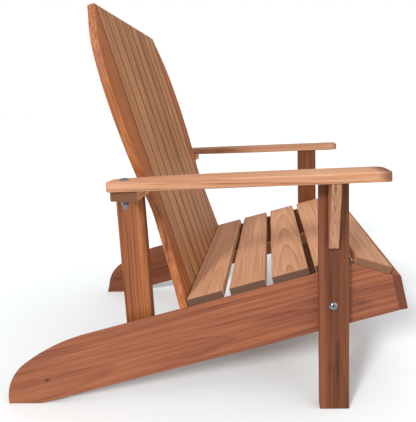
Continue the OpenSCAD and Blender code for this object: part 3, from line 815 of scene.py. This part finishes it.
def build_frame():
    near_heel = ((-0.394, -0.012), (0.009, 0.00495))
    side_rail(-1, wood("rail_wood_right", *cedar("russet"), seed=1, pith=(0.03, -0.05),
                       tilt=0.035, rings=95, wave=0.8, streak=0.85, knot=near_heel))
    # Painted shade: the left rail is made darker than the right one, as if the shade on its inner
    # face were its colour.
    side_rail(1, wood("rail_wood_left_painted_shade", *cedar("umber", 1.1), seed=2, pith=(-0.02, -0.06)))
    sapwood = ((0.0, 0.03), (1.2, 0.011), srgb(140, 80, 50), 0.5)
    front_leg(-1, wood("leg_wood_right", *cedar("umber", 0.9), seed=3, pith=(0.0, -0.16),
                       tilt=0.02, rings=150, stain=sapwood))
    front_leg(1, wood("leg_wood_left", *cedar("umber", 0.9), seed=4, pith=(0.1, -0.1), tilt=0.02))
    rear_post(-1, wood("post_wood_right", *cedar("amber", 0.9), seed=5, pith=(0.06, -0.1),
                       tilt=0.02))
    rear_post(1, wood("post_wood_left", *cedar("amber", 0.9), seed=6, pith=(0.05, -0.1),
                      tilt=0.02))
    front_end = ((0.308, 0.0), (0.03, 0.12), srgb(92, 50, 30), 0.8)
    arm(-1, wood("arm_wood_right", *cedar("pale"), seed=7, pith=(0.05, -0.09), tilt=0.03,
                 stain=front_end))
    arm(1, wood("arm_wood_left", *cedar("pale", 0.8), seed=8, pith=(0.04, -0.08), tilt=0.03))
    arm_bracket(-1, wood("bracket_wood_right", *cedar("pale", 0.75), seed=9, pith=(0.05, -0.1)))
    arm_bracket(1, wood("bracket_wood_left", *cedar("pale", 0.75), seed=10, pith=(0.05, -0.1)))
    rear_rail(wood("rear_rail_wood", *cedar("honey", 1.3), seed=11, pith=(0.05, -0.08)))
    lower_back_rail(wood("lower_rail_wood", *cedar("amber", 0.9), seed=12))
    front_apron(wood("apron_wood", *cedar("russet", 1.1), seed=13, ends=0.7, pith=(0.03, -0.06)))
    under_seat(wood("block_wood", *cedar("honey", 0.9), seed=14, pith=(0.04, -0.09)))


def build_back():
    for side, seed in ((-1, 21), (1, 22)):
        outer_back_slat(side, wood("outer_slat_wood_" + SIDES[side], *cedar("amber", 1.1),
                                   seed=seed, pith=(0.08, -0.06), tilt=0.03))
    for i in range(2, 10):
        shade = 1.0 if i % 3 else 1.1
        narrow_back_slat(i, wood("back_wood_%d" % i, *cedar("honey", shade), seed=22 + i,
                                 pith=(0.03 * math.sin(2.4 * i), -0.05), tilt=0.03))
    upper_back_batten(wood("batten_wood", *cedar("honey"), seed=33))


def build_seat():
    hearts = {1: 0.02, 2: -0.05, 3: 0.0, 4: 0.05}
    straight = {"contrast": 0.3, "wave": 0.7, "streak": 0.7}
    arched = {"contrast": 0.6, "wave": 0.35, "streak": 0.5}
    for i, across in hearts.items():
        seat_slat(i, wood("seat_wood_%d" % i, *cedar("pale", 0.95), seed=40 + i,
                          pith=(across, -0.04), tilt=0.05, rings=140, ends=0.2,
                          **(arched if i == 3 else straight)))
    front_slope_slat(wood("slope_slat_wood", *cedar("pale", 0.9), seed=46,
                          pith=(0.03, -0.05)))


def build_fasteners():
    chrome = metal("bolt_chrome", srgb(132, 134, 138), 0.1, 0.06)
    steel = metal("screw_steel", srgb(176, 175, 172), 0.3, 0.12)
    # Painted shade: the washers and nuts get a darker steel than the screws, as if their shade were
    # their colour.
    shaded_steel = metal("nut_and_washer_steel_painted_shade", srgb(96, 96, 98), 0.3, 0.1)
    for node in ("leg_bolts", "arm_bolts"):
        finish_node(node, chrome)
    for node in ("bolt_washers", "bolt_nuts"):
        finish_node(node, shaded_steel)
    for node in ("bracket_screws", "seat_screws", "support_screws", "block_screws",
                 "front_slat_screws", "apron_screws", "lower_back_screws",
                 "rear_rail_screws", "batten_screws", "post_screws"):
        screws(node, steel)
    peg = wood("dowel_wood", *cedar("honey"), seed=50)
    for node in ("arm_dowels", "rail_dowels"):
        finish_node(node, peg)


# ---------------------------------------------------------------- studio

def floor():
    bm = bmesh.new()
    half = 30
    corners = [bm.verts.new(p) for p in ((-half, -half, 0), (half, -half, 0),
                                         (half, half, 0), (-half, half, 0))]
    bm.faces.new(corners)
    material = bpy.data.materials.new("pale_floor")
    n = Nodes(material)
    cloud = n.noise(n.put("TexCoord", out=3), scale=0.4, detail=2)
    n.set(n.shader.inputs["Base Color"],
          n.mix(cloud, (0.77, 0.80, 0.81, 1), (0.80, 0.83, 0.84, 1)))
    n.shader.inputs["Roughness"].default_value = 0.9
    n.shader.inputs["Specular IOR Level"].default_value = 0.1
    from_mesh("floor", bm, material)


def lamp(name, kind, energy, toward, **settings):
    light = bpy.data.lights.new(name, kind)
    light.energy = energy
    for key, value in settings.items():
        setattr(light, key, value)
    piece = bpy.data.objects.new(name, light)
    bpy.context.scene.collection.objects.link(piece)
    piece.rotation_euler = (-Vector(toward)).to_track_quat("Z", "Y").to_euler()


def studio():
    """A white room, a soft key light from the camera's upper left, and a broad fill light."""
    world = bpy.data.worlds.new("studio")
    bpy.context.scene.world = world
    world.use_nodes = True
    tree = world.node_tree
    way = tree.nodes.new("ShaderNodeTexCoord")
    split = tree.nodes.new("ShaderNodeSeparateXYZ")
    tree.links.new(way.outputs["Generated"], split.inputs[0])
    dome = tree.nodes.new("ShaderNodeMapRange")
    for key, value in (("From Min", 0.1), ("From Max", 0.9), ("To Min", 0.1), ("To Max", 1.05)):
        dome.inputs[key].default_value = value
    tree.links.new(split.outputs["Z"], dome.inputs["Value"])
    path = tree.nodes.new("ShaderNodeLightPath")
    seen = tree.nodes.new("ShaderNodeMath")
    seen.operation = "MAXIMUM"
    tree.links.new(path.outputs["Is Camera Ray"], seen.inputs[0])
    tree.links.new(dome.outputs[0], seen.inputs[1])
    tree.links.new(seen.outputs[0], tree.nodes["Background"].inputs["Strength"])
    tree.nodes["Background"].inputs["Color"].default_value = (1, 1, 1, 1)
    swing, height = math.radians(30), math.radians(33)
    source = Vector((-math.sin(swing) * math.cos(height), -math.cos(swing) * math.cos(height),
                     math.sin(height)))
    lamp("key", "SUN", 2.6, -source, angle=math.radians(13))
    lamp("fill", "SUN", 1.3, (-0.85, 0.3, -0.45), angle=math.radians(70))


def camera():
    """At the photograph's viewpoint: level with the shoulder of the chair, at its right side."""
    yaw, pitch, roll = (math.radians(a) for a in (-0.5, 3.5, -0.8))
    ahead = Vector((math.sin(yaw), math.cos(yaw), 0))
    look = math.cos(pitch) * ahead - math.sin(pitch) * Vector((0, 0, 1))
    up = math.sin(pitch) * ahead + math.cos(pitch) * Vector((0, 0, 1))
    right = Vector((math.cos(yaw), -math.sin(yaw), 0))
    turned_right = math.cos(roll) * right + math.sin(roll) * up
    turned_up = math.cos(roll) * up - math.sin(roll) * right
    data = bpy.data.cameras.new("camera")
    data.lens = 30.8
    data.sensor_width = 36
    data.shift_x = -0.136
    data.shift_y = -0.187
    piece = bpy.data.objects.new("camera", data)
    bpy.context.scene.collection.objects.link(piece)
    piece.matrix_world = axes((0.158, -1.115, 0.706), turned_right, turned_up, -look)
    bpy.context.scene.camera = piece


build_frame()
build_back()
build_seat()
build_fasteners()
floor()
studio()
camera()
bpy.context.scene.view_settings.view_transform = "Standard"
